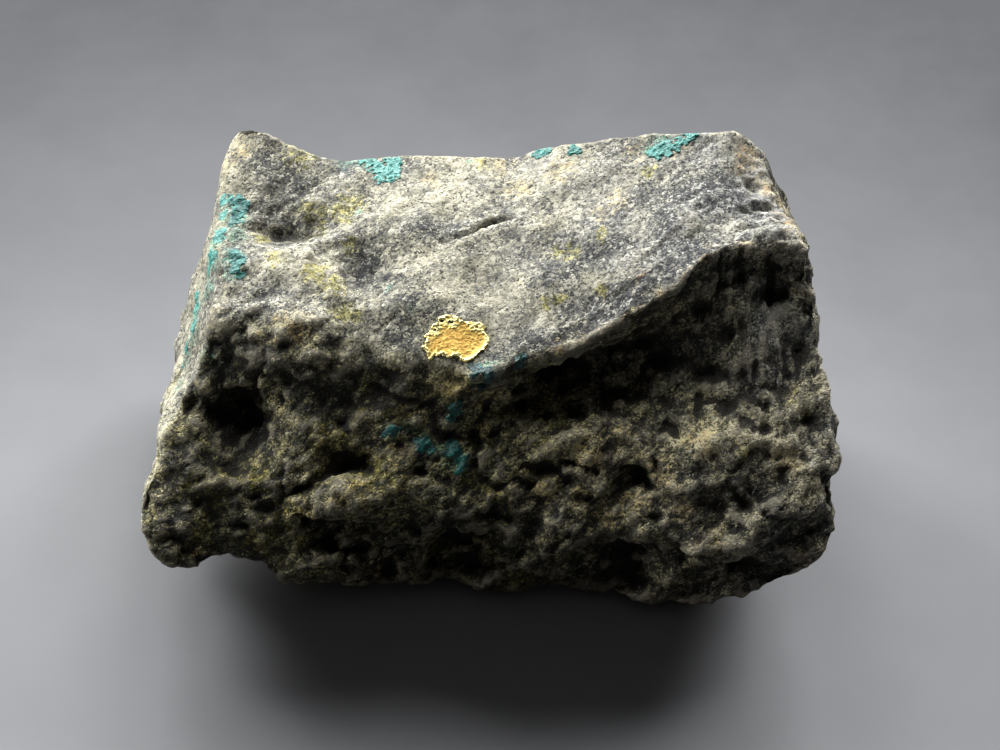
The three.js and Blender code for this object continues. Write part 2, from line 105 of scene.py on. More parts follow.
def add_piece(name, mesh, finish, node):
    """A smooth-shaded piece that takes the place of a CAD node."""
    for polygon in mesh.polygons:
        polygon.use_smooth = True
    mesh.materials.clear()
    mesh.materials.append(finish)
    piece = add_object(name, mesh)
    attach(piece, "root")
    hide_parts(node)
    lit_pieces.objects.link(piece)


# -------------------- places that the camera sees

PICTURE_WIDTH, PICTURE_HEIGHT = 1000, 750
CAMERA_AIM = (0.92, -6.25, 16.5)
CAMERA_DISTANCE = 168.6
CAMERA_ELEVATION = math.radians(45)
CAMERA_LENS = 85
SENSOR_WIDTH = 36
PIXELS_PER_MM = 14
INWARD_STEPS = 200
CAMERA_PLACE = Vector(CAMERA_AIM) + CAMERA_DISTANCE * Vector(
    (0, -math.cos(CAMERA_ELEVATION), math.sin(CAMERA_ELEVATION)))


def search_tree(points, mesh):
    return BVHTree.FromPolygons(points.tolist(), [face.vertices for face in mesh.polygons])


class Sight:
    """The smooth rock as the camera sees it."""

    def __init__(self, points, mesh):
        self.tree = search_tree(points, mesh)

    def place(self, across, down):
        """The rock under a pixel of the picture, or the nearest rock on the way in to the middle."""
        ahead = (Vector(CAMERA_AIM) - CAMERA_PLACE).normalized()
        right = Vector((1, 0, 0))
        aside = (across - PICTURE_WIDTH / 2) * right - (down - PICTURE_HEIGHT / 2) * right.cross(ahead)
        for step in range(INWARD_STEPS):
            depth = PICTURE_WIDTH * CAMERA_LENS / SENSOR_WIDTH
            toward = ahead * depth + aside * (1 - step / INWARD_STEPS)
            place = self.tree.ray_cast(CAMERA_PLACE, toward.normalized())[0]
            if place is not None:
                return np.array(place)
        raise ValueError("the camera doesn't see the rock")


# -------------------- noise on many points

# The rock's sheets run up to the right and dip to the front.
FOLIATION = np.array(Euler((0.25, -0.30, 0.43)).to_matrix())
# The streaks on the left face run down it to the front.
STREAKS = np.array((-0.19, -0.86, -0.48))


def rolling(points, wavelength, shift=0.0):
    """Smooth noise from about -1 to 1, one bump or hollow in each wavelength."""
    offset = Vector((shift, 2 * shift, -shift))
    return np.array([noise.noise(Vector(point) + offset) for point in points / wavelength]) * 1.6


def blocky(points, size, shift=0.0):
    """Angular blocks that lie along the sheets: 1 in their middles, 0 in the corners between them."""
    places = points @ FOLIATION / (1.5 * size, 0.9 * size, size)
    offset = Vector((shift, -shift, 2 * shift))
    heights = np.empty(len(points))
    for index, place in enumerate(places):
        near = noise.voronoi(Vector(place) + offset, distance_metric="CHEBYCHEV")[0]
        heights[index] = 1 - min(1.0, 1.5 * near[0])
    return heights


# Places far apart in the noise, read for the three parts of a slope.
SLOPE_SHIFTS = (Vector((0, 0, 0)), Vector((31.7, 5.3, 0)), Vector((0, 47.3, 11.9)))


def slope_at(place):
    """An odd slope for each place. It is the same in every run, which noise_vector is not."""
    return Vector([noise.noise(place + shift) for shift in SLOPE_SHIFTS])


def stepped(points, size, shift=0.0):
    """Flat facets along the sheets, each at an odd level from -1 to 1 and at an odd slope."""
    places = points @ FOLIATION / (1.7 * size, 0.9 * size, size)
    offset = Vector((shift, -shift, 2 * shift))
    heights = np.empty(len(points))
    for index, place in enumerate(places):
        here = Vector(place) + offset
        seed = noise.voronoi(here)[1][0]
        level = noise.noise(seed * 9.7) * 1.6
        heights[index] = level + 0.8 * slope_at(seed * 3.1).dot(here - seed)
    return heights


def cobbled(points, size, shift=0.0):
    """Rounded grains packed side by side, 1 in their middles and 0 between them."""
    offset = Vector((-shift, shift, shift))
    heights = np.empty(len(points))
    for index, point in enumerate(points / size):
        near = noise.voronoi(Vector(point) + offset)[0]
        heights[index] = min(1.0, near[1] - near[0])
    return heights


# -------------------- relief finer than the CAD rock

# Each line is (half width, height, corners): below zero it is a groove. The corners are pixels.
LINES = {
    "fissure": (0.3, -0.5, [(474, 231), (482, 225), (490, 222), (500, 219), (514, 215)]),
    "fissure shadow": (0.32, -0.34, [(436, 240), (448, 239), (458, 236), (470, 232), (480, 227)]),
    "fissure floor": (0.2, -0.5, [(478, 228), (484, 224), (492, 221), (503, 218)]),
    "fissure lip": (0.6, 0.08, [(455, 246), (470, 240), (486, 233), (505, 226), (520, 223)]),
    "thin crack": (0.13, -0.2, [(370, 337), (380, 331), (389, 322), (396, 315), (404, 309)]),
    "left step": (0.35, -0.5, [(285, 452), (281, 475), (280, 500), (277, 522)]),
    "behind bench": (0.7, -0.25, [(240, 227), (265, 233), (292, 237), (318, 238), (345, 232)]),
    "bench lip": (0.7, 0.1, [(240, 250), (270, 251), (300, 252), (325, 254)]),
    "ridge lip": (0.35, 0.1, [
        (462, 381), (490, 372), (520, 360), (545, 350), (562, 345), (582, 343), (600, 330), (622, 316),
        (642, 309), (662, 292), (684, 276), (700, 263), (712, 248), (730, 246), (757, 243)
    ]),
    "right ledge": (0.45, -0.6, [(740, 386), (770, 388), (800, 389)]),
    "left recess": (0.6, -0.7, [(296, 492), (312, 482), (330, 470), (352, 462)]),
    "first slot": (0.4, -0.5, [(722, 253), (722, 275), (718, 300)]),
    "second slot": (0.35, -0.4, [(740, 250), (742, 270), (740, 296)]),
    "third slot": (0.5, -0.8, [(768, 252), (772, 278), (773, 305)]),
    "fourth slot": (0.3, -0.5, [(786, 350), (789, 380)]),
    "fifth slot": (0.3, -0.5, [(796, 352), (798, 382)]),
    "sixth slot": (0.3, -0.4, [(752, 330), (755, 360), (754, 380)]),
    "short seam": (0.4, -0.5, [(560, 462), (580, 466), (602, 474)]),
    "curved rib": (0.5, 0.4, [(735, 485), (748, 498), (765, 508), (790, 515), (812, 510)]),
    "undercut lip": (0.5, 0.4, [(672, 551), (700, 549), (730, 546), (752, 543)]),
    "nodule band": (0.8, 0.25, [(318, 508), (340, 500), (362, 496), (380, 505)]),
    "ledge crest": (0.6, 0.35, [(700, 442), (730, 436), (760, 440), (790, 446), (815, 452)]),
    "tongue crease": (0.4, -0.35, [(358, 378), (385, 392), (405, 402), (425, 396)]),
    "first rib": (0.35, 0.35, [(731, 258), (730, 295), (727, 332)]),
    "second rib": (0.3, 0.35, [(749, 256), (750, 290), (747, 330)]),
    "third rib": (0.3, 0.35, [(761, 318), (763, 350), (762, 384)]),
    "fourth rib": (0.3, 0.35, [(776, 322), (780, 350), (781, 384)]),
    "first streak": (0.35, 0.12, [(596, 300), (640, 276), (690, 246)]),
    "second streak": (0.35, 0.12, [(560, 330), (610, 304), (650, 284)]),
    "third streak": (0.35, 0.12, [(630, 262), (670, 232), (715, 206)]),
}

# Each pit is (pixel across, pixel down, radius, depth): below zero it is a swelling.
PITS = [
    (226, 420, 3, 0.35), (250, 436, 2.2, 0.25), (255, 350, 2.6, -0.7), (292, 352, 2.6, -0.8),
    (330, 362, 2.6, -0.6), (226, 330, 2, -0.5), (240, 378, 2.2, -0.45), (752, 185, 0.9, 0.5),
    (770, 207, 0.8, 0.5), (757, 206, 0.7, 0.4), (786, 240, 0.8, 0.5), (743, 163, 0.7, 0.3),
    (358, 466, 1.1, 0.8), (300, 492, 0.9, 0.6), (330, 545, 1.5, 1), (362, 548, 1.3, 0.9),
    (348, 572, 1, 0.6), (470, 565, 2, 1.1), (520, 388, 0.8, 0.7), (638, 478, 1.5, 1), (748, 506, 1.4, 0.8),
    (776, 296, 1.2, 1), (800, 350, 1, 0.8), (625, 572, 2.2, 0.9), (570, 408, 0.9, 0.6), (672, 430, 1, 0.6),
    (543, 470, 1, 0.7), (440, 480, 0.9, 0.6), (405, 552, 1.2, 0.7), (706, 372, 1.3, 0.8),
    (660, 360, 1.2, 0.8), (615, 352, 1, 0.6), (690, 560, 1.6, 0.8), (745, 565, 1.4, 0.7),
    (590, 500, 0.9, 0.6), (500, 520, 1.1, 0.7), (725, 335, 1, 0.6), (700, 310, 0.9, 0.6),
    (745, 420, 0.8, 0.5), (780, 480, 0.9, 0.5),
]


def distance_to_line(points, corners):
    """Distance to a line through the corners, and how far along it the nearest place is, from 0 to 1."""
    nearest = np.full(len(points), np.inf)
    along = np.zeros(len(points))
    spans = len(corners) - 1
    for span, (start, end) in enumerate(zip(corners[:-1], corners[1:])):
        side = end - start
        share = np.clip((points - start) @ side / (side @ side), 0, 1)
        away = np.linalg.norm(points - (start + share[:, None] * side), axis=1)
        closer = away < nearest
        nearest[closer] = away[closer]
        along[closer] = (span + share[closer]) / spans
    return nearest, along


def cap(distance, radius):
    share = np.clip(1 - (distance / radius) ** 2, 0, 1)
    return share * share


def line_relief(points, sight):
    """Grooves and ribs that waver in width and taper to their ends."""
    waver = 1 + 0.35 * rolling(points, 0.9, shift=9.0)
    height = np.zeros(len(points))
    for half_width, rise, corners in LINES.values():
        distance, along = distance_to_line(points, [sight.place(*corner) for corner in corners])
        taper = 0.3 + 0.7 * np.sqrt(np.clip(4 * along * (1 - along), 0, 1))
        height += rise * taper * cap(distance * waver, half_width * taper)
    return height


def pit_relief(points, sight):
    waver = 1 + 0.4 * rolling(points, 0.9, shift=11.0)
    height = np.zeros(len(points))
    for across, down, radius, depth in PITS:
        distance = np.linalg.norm((points - sight.place(across, down)) / (1.3, 1.0, 0.8), axis=1)
        height -= depth * cap(distance * waver, radius)
    return height


def broken_relief(points, rough):
    """Blocks and facets, bold where the rock is rough and faint on its smooth top."""
    height = (0.08 + 0.36 * rough) * (blocky(points, 3.4, shift=3.0) - 0.4)
    height += (0.06 + 0.40 * rough) * (blocky(points, 1.7, shift=5.0) - 0.4)
    height += (0.04 + 0.20 * rough) * (blocky(points, 0.9, shift=8.0) - 0.4)
    height += (0.04 + 0.16 * rough) * stepped(points, 1.4, shift=2.0)
    height += (0.10 + 0.10 * rough) * rolling(points, 3.2, shift=1.0)
    height -= 0.5 * rough * ramp(rolling(points, 1.6, shift=5.0), 0.5, 1.0)
    return height


def streak_relief(points):
    """Long low ribs that run down the flat left face."""
    along = points @ STREAKS
    return 0.16 * rolling(points - 0.9 * along[:, None] * STREAKS, 0.8, shift=6.0)


def grain_relief(points, rough):
    height = (0.022 + 0.07 * rough) * cobbled(points, 0.6, shift=2.0)
    height += (0.035 + 0.06 * rough) * rolling(points, 0.75, shift=4.0)
    return height


# Edges that turn by more than the first angle, in radians, stay partly sharp, up to the share SHARPEST.
CREASE_ANGLES = (0.6, 1.2)
SHARPEST = 0.45


def subdivided_copy(node, name, levels):
    """A welded copy of a CAD node, rounded by subdivision."""
    mesh = bmesh.new()
    mesh.from_mesh(node.data)
    bmesh.ops.remove_doubles(mesh, verts=mesh.verts, dist=0.002 * MM)
    crease = mesh.edges.layers.float.new("crease_edge")
    for edge in mesh.edges:
        edge[crease] = SHARPEST * float(ramp(edge.calc_face_angle(0.0), *CREASE_ANGLES))
    coarse = bpy.data.meshes.new(name + "_coarse")
    mesh.to_mesh(coarse)
    mesh.free()
    cage = add_object(name + "_cage", coarse)
    rounding = cage.modifiers.new("rounding", "SUBSURF")
    rounding.levels = levels
    graph = bpy.context.evaluated_depsgraph_get()
    fine = bpy.data.meshes.new_from_object(cage.evaluated_get(graph))
    fine.name = name
    bpy.data.objects.remove(cage)
    bpy.data.meshes.remove(coarse)
    return fine


# The smooth top lies above this height, and the flat left face to the left of this place.
TOP_STARTS = 16.0
LEFT_FACE_STARTS = -17.0


def fine_rock(mesh, sight):
    """Gives the smooth rock its fine relief, and the attributes that its finish reads."""
    points, normals, edges = points_of(mesh), normals_of(mesh), edges_of(mesh)
    facing_up = spread(normals[:, 2], edges, 8) + 0.10 * rolling(points, 2.0, shift=12.0)
    top = ramp(facing_up, 0.35, 0.85) * ramp(points[:, 2], TOP_STARTS - 1, TOP_STARTS + 1.5)
    top = spread(top, edges, 8)
    left = ramp(-normals[:, 0], 0.55, 0.8) * ramp(-points[:, 0], -LEFT_FACE_STARTS, -LEFT_FACE_STARTS + 2)
    left = spread(left * ramp(points[:, 2], 3, 7), edges, 3)
    crumbling = 0.4 * ramp(-points[:, 0], 6, 13) + 0.65 * ramp(points[:, 0], 17, 19.5)
    rough = 1 - np.maximum(top * (1 - crumbling), 0.85 * left)
    back_rim = ramp(points[:, 1], 8, 10.5) * ramp(points[:, 2], 16, 19)
    rough *= 1 - 0.40 * ramp(points[:, 1], 7, 10) - 0.45 * back_rim

    height = broken_relief(points, rough) + line_relief(points, sight) + pit_relief(points, sight)
    height += left * streak_relief(points)
    points = points + normals * height[:, None]
    set_points(mesh, points)
    points = points + normals_of(mesh) * grain_relief(points, rough)[:, None]
    points[:, 2] = np.maximum(points[:, 2], 0)
    set_points(mesh, points)

    # How deep each point lies in a hollow (above zero) or how far it stands out (below zero).
    normals = normals_of(mesh)
    near = np.einsum("ij,ij->i", spread(points, edges, 4) - points, normals)
    wide = np.einsum("ij,ij->i", spread(points, edges, 40) - points, normals)
    attribute(mesh, "hollow_small", near)
    attribute(mesh, "hollow_wide", wide)
    attribute(mesh, "top", top)
    attribute(mesh, "left", left)
    for name, patches in STAINS_AND_PAINTED_LIGHT.items():
        attribute(mesh, name, patch_field(points, sight, patches))


# -------------------- stains, painted shade and painted highlights, by place

# Each patch is (pixel across, pixel down, radius).
STAINS_AND_PAINTED_LIGHT = {
    "epidote": [
        (345, 208, 1.6), (320, 210, 1.2), (332, 285, 1.3), (318, 272, 1.1), (345, 315, 1.2), (310, 205, 1),
        (318, 238, 0.9), (350, 245, 0.8), (300, 155, 1.3), (262, 240, 0.9), (275, 256, 0.9),
        (320, 435, 1.3), (340, 440, 1.5), (358, 410, 1), (363, 385, 0.9), (395, 415, 1), (375, 470, 1.5),
        (358, 478, 1.1), (392, 478, 1.2), (470, 478, 0.9), (490, 492, 1.1), (540, 470, 1.4),
        (560, 425, 0.8), (548, 446, 1), (190, 485, 1.2), (215, 500, 1.6), (262, 478, 1.3), (200, 535, 1.3),
        (262, 540, 1.6), (300, 540, 1), (225, 475, 1.4), (275, 515, 1.2), (795, 395, 1), (805, 410, 0.8),
        (742, 450, 0.8), (480, 555, 1.2), (440, 545, 1.4), (520, 580, 1.5), (572, 252, 0.8),
        (558, 254, 0.7), (600, 292, 0.7), (545, 304, 0.6), (560, 300, 0.6), (600, 235, 0.8),
        (650, 170, 0.7), (480, 160, 0.8),
    ],
    "beige": [
        (560, 347, 0.5), (585, 341, 0.5), (610, 324, 0.5), (635, 311, 0.5), (660, 293, 0.5),
        (690, 270, 0.5), (715, 248, 0.6), (745, 244, 0.6), (750, 160, 1.2), (765, 185, 1.2),
        (780, 205, 1.2), (792, 230, 1), (590, 455, 1.5), (660, 475, 1.8), (680, 505, 1.4), (640, 500, 1.2),
        (620, 435, 1.2), (560, 395, 1.2), (786, 462, 1.4), (700, 440, 1.3), (352, 492, 1.5),
        (340, 505, 1.2), (300, 515, 1.2), (490, 395, 1.2), (450, 390, 1.3), (470, 385, 1), (300, 325, 1.2),
        (270, 345, 1), (285, 318, 1), (545, 488, 1.2), (580, 500, 1), (610, 520, 1.4), (720, 545, 1.3),
        (400, 450, 1), (480, 432, 0.8), (225, 165, 1), (240, 150, 1), (560, 170, 1.3), (520, 190, 1.1),
        (500, 165, 1.2), (640, 150, 1.2), (620, 200, 1.2), (600, 215, 1), (680, 150, 0.9), (430, 180, 0.9),
    ],
    "rust": [
        (738, 168, 0.8), (745, 152, 0.7), (770, 190, 0.6), (790, 222, 0.7), (776, 215, 0.6),
        (800, 555, 1.1), (535, 580, 0.8), (640, 275, 0.6), (558, 347, 0.6), (600, 333, 0.5),
        (640, 309, 0.5), (295, 335, 0.7), (372, 575, 0.8), (404, 408, 0.7), (420, 405, 0.6),
        (792, 290, 0.6), (780, 245, 0.5), (700, 540, 0.7), (620, 495, 0.6), (195, 550, 0.6),
        (582, 342, 0.5), (622, 317, 0.5), (662, 294, 0.5), (684, 277, 0.5), (706, 257, 0.5),
    ],
    # Partly the rock's own paler patches, partly painted highlight on the striated face at the right.
    "pale": [
        (740, 330, 0.7), (762, 352, 0.8), (776, 332, 0.7), (700, 395, 1.2), (440, 378, 1.2),
        (455, 385, 1.2), (430, 372, 1), (262, 330, 0.9), (285, 325, 0.8), (310, 340, 0.6), (345, 350, 0.8),
        (370, 345, 1), (395, 365, 0.9), (740, 150, 1.8), (752, 170, 1.5), (765, 190, 1.3), (780, 205, 1.3),
        (790, 225, 1.2), (795, 250, 1.2), (240, 140, 1.8), (225, 165, 1.6), (228, 190, 1.3),
        (215, 225, 1.3), (208, 255, 1.4), (200, 290, 1.6), (190, 325, 1.6), (180, 360, 1.6),
        (172, 395, 1.6), (163, 430, 1.5), (158, 460, 1.3), (440, 195, 2.6), (460, 170, 2.8),
        (400, 205, 1.8), (540, 180, 2.4), (570, 165, 2), (480, 262, 2), (450, 285, 2), (515, 285, 1.8),
        (500, 300, 1.8), (300, 265, 1.6), (330, 262, 1.5), (275, 262, 1.2), (425, 262, 1.5),
        (395, 262, 0.8), (560, 215, 1.8), (620, 185, 1.4), (600, 200, 1.2), (640, 225, 1.3),
        (690, 215, 1.2), (730, 225, 1), (590, 280, 1), (620, 270, 1), (500, 330, 1.4), (540, 320, 1.2),
        (680, 440, 1.2), (710, 445, 1.4), (745, 440, 1.4), (780, 450, 1.4), (810, 460, 1.2),
        (820, 480, 1.1), (800, 500, 1), (770, 300, 0.8), (790, 320, 0.8), (815, 350, 0.9), (822, 385, 0.9),
        (600, 470, 1.5), (575, 450, 1.3), (628, 455, 1.3), (760, 430, 1.3), (795, 440, 1.2),
    ],
    # Partly the rock's own darker patches, partly painted shade in the pit, along the ridge and below the
    # gold.
    "dark_and_shade": [
        (225, 405, 1.4), (240, 420, 1.6), (255, 435, 1.4), (235, 438, 1.3), (215, 400, 0.9),
        (372, 262, 1.5), (360, 275, 1.3), (385, 275, 1.2), (356, 252, 1.1), (275, 345, 2.2),
        (245, 340, 1.8), (300, 375, 2.2), (345, 382, 2), (230, 360, 1.6), (372, 362, 1.4), (395, 385, 1.6),
        (690, 195, 2), (720, 180, 1.2), (725, 205, 1.4), (660, 215, 1.6), (650, 285, 1.6), (620, 300, 1.5),
        (590, 320, 1.3), (560, 335, 1.2), (600, 255, 1.4), (625, 240, 1.2), (430, 232, 1), (455, 228, 1),
        (420, 225, 0.9), (475, 250, 0.8), (520, 350, 1), (500, 357, 1.1), (440, 312, 1), (412, 300, 1),
        (395, 340, 1.4), (405, 360, 1.3), (420, 375, 1.2), (265, 160, 1.3), (285, 175, 1.4),
        (300, 190, 1.2), (265, 215, 1.3), (285, 225, 1.2), (305, 228, 1), (560, 240, 1.1), (640, 200, 1.2),
        (745, 235, 0.9), (540, 275, 1.1), (575, 275, 1), (550, 210, 0.9), (255, 300, 1.3), (240, 315, 1.3),
        (262, 322, 1.2), (535, 342, 1.3), (515, 345, 1), (575, 328, 1.8), (606, 310, 2), (638, 290, 2.1),
        (670, 266, 1.9), (694, 248, 1.4), (722, 318, 1), (705, 342, 1.2), (750, 372, 0.9), (735, 270, 1),
        (190, 470, 1.6), (215, 505, 1.4), (180, 520, 1.2), (318, 350, 1.6), (258, 355, 1.6),
        (482, 380, 1.2), (502, 370, 1.1), (472, 390, 0.9), (770, 345, 0.8), (745, 345, 0.8),
        (788, 335, 0.8),
    ],
    "copper": [
        (350, 160, 1), (362, 158, 1), (545, 150, 0.7), (575, 150, 0.6), (648, 150, 0.5), (358, 213, 0.35),
        (389, 287, 0.4), (411, 309, 0.35), (208, 355, 0.7), (240, 335, 0.4), (492, 372, 0.9),
        (478, 382, 0.8), (520, 362, 0.6), (455, 412, 0.8), (392, 433, 0.7), (422, 443, 0.9), (455, 455, 1),
        (240, 215, 0.9), (236, 235, 0.9), (230, 255, 1.1), (233, 270, 0.9), (225, 215, 0.9),
        (215, 240, 1.2), (212, 265, 1.2), (208, 290, 1), (196, 315, 1.2), (193, 335, 0.9), (186, 360, 0.9),
        (180, 385, 0.6), (236, 205, 0.7), (470, 160, 0.3), (665, 140, 1), (700, 133, 0.6), (440, 450, 0.8),
        (410, 430, 0.6), (462, 470, 0.6),
    ],
}


def patch_field(points, sight, patches):
    """1 in the middle of each patch, fading to 0 outside it."""
    strength = np.zeros(len(points))
    for across, down, radius in patches:
        distance = np.linalg.norm(points - sight.place(across, down), axis=1)
        strength = np.maximum(strength, 1 - distance / (1.5 * radius))
    return np.clip(strength, 0, 1)


# -------------------- sheets laid on the rock

DROP = 6.0           # the grid is let down on the rock from this high
STEEPEST = 3.5       # a square that falls by more grid steps than this hangs down a drop


class Lay:
    """A square grid let down on the rock, and the sheets of gold or crust made on it."""

    CORNERS = (
        (slice(None, -1), slice(None, -1)), (slice(None, -1), slice(1, None)),
        (slice(1, None), slice(1, None)), (slice(1, None), slice(None, -1)),
    )

    def __init__(self, tree, centre, facing, reach, step):
        self.facing = Vector(facing).normalized()
        self.centre = Vector(centre)
        self.across = Vector((0, 0, 1)).cross(self.facing).normalized()
        self.upward = self.facing.cross(self.across)
        marks = np.arange(-reach, reach + step, step)
        self.step = step
        self.v, self.u = np.meshgrid(marks, marks, indexing="ij")
        flat = self.u[..., None] * np.array(self.across) + self.v[..., None] * np.array(self.upward)
        self.plane = flat + np.array(centre)
        self.level = np.full(self.u.shape, np.nan)
        for row, column in np.ndindex(self.u.shape):
            start = Vector(self.plane[row, column]) + self.facing * DROP
            hit = tree.ray_cast(start, -self.facing)
            if hit[0] is not None and hit[3] < 2 * DROP:
                self.level[row, column] = DROP - hit[3]

    def spot(self, place):
        """Where a place lies across and up the grid."""
        away = Vector(place) - self.centre
        return away.dot(self.across), away.dot(self.upward)

    def places(self, level):
        return self.plane + level[..., None] * np.array(self.facing)

    def smoothed(self, passes):
        """The rock's level under the grid, evened out."""
        level = np.where(np.isnan(self.level), np.nanmedian(self.level), self.level)
        for _ in range(passes):
            padded = np.pad(level, 1, mode="edge")
            level = (padded[:-2, 1:-1] + padded[2:, 1:-1] + padded[1:-1, :-2] + padded[1:-1, 2:]) / 4
        return level

    def cells(self, inside, level):
        """The grid's squares with all four corners inside, leaving out any that hang down a drop."""
        inside = inside & ~np.isnan(self.level)
        level = np.where(np.isnan(level), 0, level)
        index = np.arange(self.u.size).reshape(self.u.shape)
        corners = [index[rows, columns] for rows, columns in self.CORNERS]
        held = np.all([inside[rows, columns] for rows, columns in self.CORNERS], axis=0)
        levels = np.array([level[rows, columns] for rows, columns in self.CORNERS])
        held &= levels.max(0) - levels.min(0) < STEEPEST * self.step
        return [tuple(int(corner[place]) for corner in corners) for place in zip(*np.nonzero(held))]


def islands(cells):
    """The cells sorted into groups that hold together along their sides."""
    owner = {}

    def root(key):
        while owner[key] != key:
            owner[key] = owner[owner[key]]
            key = owner[key]
        return key

    first_cell = {}
    for number, cell in enumerate(cells):
        owner[number] = number
        for start, end in zip(cell, cell[1:] + cell[:1]):
            side = (min(start, end), max(start, end))
            if side in first_cell:
                owner[root(number)] = root(first_cell[side])
            else:
                first_cell[side] = number
    groups = {}
    for number, cell in enumerate(cells):
        groups.setdefault(root(number), []).append(cell)
    return list(groups.values())


def shell_mesh(name, outer, inner, cells, least):
    """A closed shell for each island of at least `least` cells, and the grid index of each point."""
    points, faces, origin = [], [], []
    for island in islands(cells):
        if len(island) < least:
            continue
        used = sorted({corner for cell in island for corner in cell})
        above = {corner: len(points) + rank for rank, corner in enumerate(used)}
        below = {corner: len(points) + len(used) + rank for rank, corner in enumerate(used)}
        points += [outer[corner] for corner in used] + [inner[corner] for corner in used]
        origin += used + used
        sides = {(start, end) for cell in island for start, end in zip(cell, cell[1:] + cell[:1])}
        for cell in island:
            faces.append([above[corner] for corner in cell])
            faces.append([below[corner] for corner in reversed(cell)])
        for start, end in sorted(sides):
            if (end, start) not in sides:
                faces.append([above[end], above[start], below[start], below[end]])
    mesh = bpy.data.meshes.new(name)
    mesh.from_pydata([tuple(point * MM) for point in points], [], faces)
    mesh.update()
    return mesh, np.array(origin, dtype=int)


# -------------------- gold

GOLD_PIXEL = (455, 340)
GOLD_FACING = (0, -0.6, 0.8)
GOLD_STEP = 0.055
GOLD_RISE = 0.13     # how far the flake stands above its bed
GOLD_ROOT = 0.22     # how far it reaches down into the rock
GOLD_REACH = 2.7     # half the width of its grid
BED_PASSES = 120     # the flake lies on the rock evened out this much,
CLOSE_PASSES = 8     # and no more than BED_SINK below the rock evened out this little
BED_SINK = 0.05
# The flake's outline in pixels from its centre, across and up its face, counterclockwise.
GOLD_OUTLINE = [
    (-18, 19), (-23, 16), (-24, 13), (-26, 9), (-31, 4), (-29, 1), (-31, -4), (-34, -7), (-31, -10),
    (-28, -14), (-29, -17), (-27, -20), (-22, -21), (-20, -17), (-14, -16), (-10, -18), (-6, -19), (0, -17),
    (5, -19), (3, -22), (9, -23), (14, -23), (18, -21), (22, -17), (25, -13), (31, -10), (33, -5), (34, -1),
    (34, 4), (29, 9), (31, 12), (30, 16), (25, 19), (17, 19), (10, 20), (6, 21), (2, 25), (-7, 27),
    (-18, 25),
]
# Places near the flake's upper edge where rock shows through it: (across, up, radius).
GOLD_HOLES = [(-0.95, 1.42, 0.09), (-0.25, 1.30, 0.07), (-1.45, 0.72, 0.07), (1.55, 0.95, 0.06)]


def depth_inside(u, v, outline):
    """Distance from each place to the outline, above zero inside it."""
    nearest = np.full(u.shape, np.inf)
    inside = np.zeros(u.shape, dtype=bool)
    for (u1, v1), (u2, v2) in zip(outline, outline[1:] + outline[:1]):
        run, climb = u2 - u1, v2 - v1
        share = np.clip(((u - u1) * run + (v - v1) * climb) / (run ** 2 + climb ** 2), 0, 1)
        nearest = np.minimum(nearest, np.hypot(u - u1 - share * run, v - v1 - share * climb))
        if v1 != v2:
            inside ^= ((v1 > v) != (v2 > v)) & (u < run * (v - v1) / climb + u1)
    return np.where(inside, nearest, -nearest)


def gold_mesh(tree, sight):
    lay = Lay(tree, sight.place(*GOLD_PIXEL), GOLD_FACING, GOLD_REACH, GOLD_STEP)
    flat = np.stack([lay.u, lay.v, np.zeros_like(lay.u)], axis=-1).reshape(-1, 3)

    def ripple(wavelength, shift):
        return rolling(flat, wavelength, shift).reshape(lay.u.shape)

    outline = [(across / PIXELS_PER_MM, up / PIXELS_PER_MM) for across, up in GOLD_OUTLINE]
    depth = depth_inside(lay.u, lay.v, outline) + 0.05 * ripple(0.45, 1.0) + 0.05 * ripple(0.2, 2.0)
    for across, up, radius in GOLD_HOLES:
        hole = np.hypot((lay.u - across) / 1.4, lay.v - up) * (1 + 0.3 * ripple(0.25, 6.0)) - radius
        depth = np.minimum(depth, hole)

    # Finely wrinkled within, crumbly and proud along its rim.
    rim = np.exp(-((depth - 0.14) / 0.16) ** 2)
    folds = 0.03 * np.abs(ripple(0.6, 3.0)) + 0.05 * np.abs(ripple(0.28, 4.0)) + 0.045 * ripple(0.15, 5.0)
    crumbs = rim * (0.04 + 0.12 * np.maximum(ripple(0.26, 7.0), 0))
    bed = np.maximum(lay.smoothed(BED_PASSES), lay.smoothed(CLOSE_PASSES) - BED_SINK)
    folds *= 0.45 + 0.55 * rim
    level = bed + GOLD_RISE + folds + crumbs
    cells = lay.cells(depth > 0, level)
    outer = lay.places(level).reshape(-1, 3)
    inner = lay.places(bed - GOLD_ROOT).reshape(-1, 3)
    mesh, origin = shell_mesh("gold_flake", outer, inner, cells, least=20)
    attribute(mesh, "rim", np.exp(-np.maximum(depth, 0) / 0.3).ravel()[origin])
    attribute(mesh, "tops", np.clip((folds + crumbs) / 0.09, 0, 1).ravel()[origin])
    attribute(mesh, "upper", ramp(lay.v - 0.25 * lay.u, 0.2, 1.4).ravel()[origin])
    return mesh


# -------------------- atacamite

FACING_TOP = (0, -0.55, 0.85)
FACING_EDGE = (-0.45, -0.35, 0.82)
FACING_FACE = (-0.80, -0.30, 0.52)
FACING_EYE = (0, -0.71, 0.71)
CRUST_STEP = 0.075
CRUST_ROOT = 0.2     # how far a crust reaches down into the rock
CRUST_MARGIN = 0.9   # how far its grid runs on past its patches
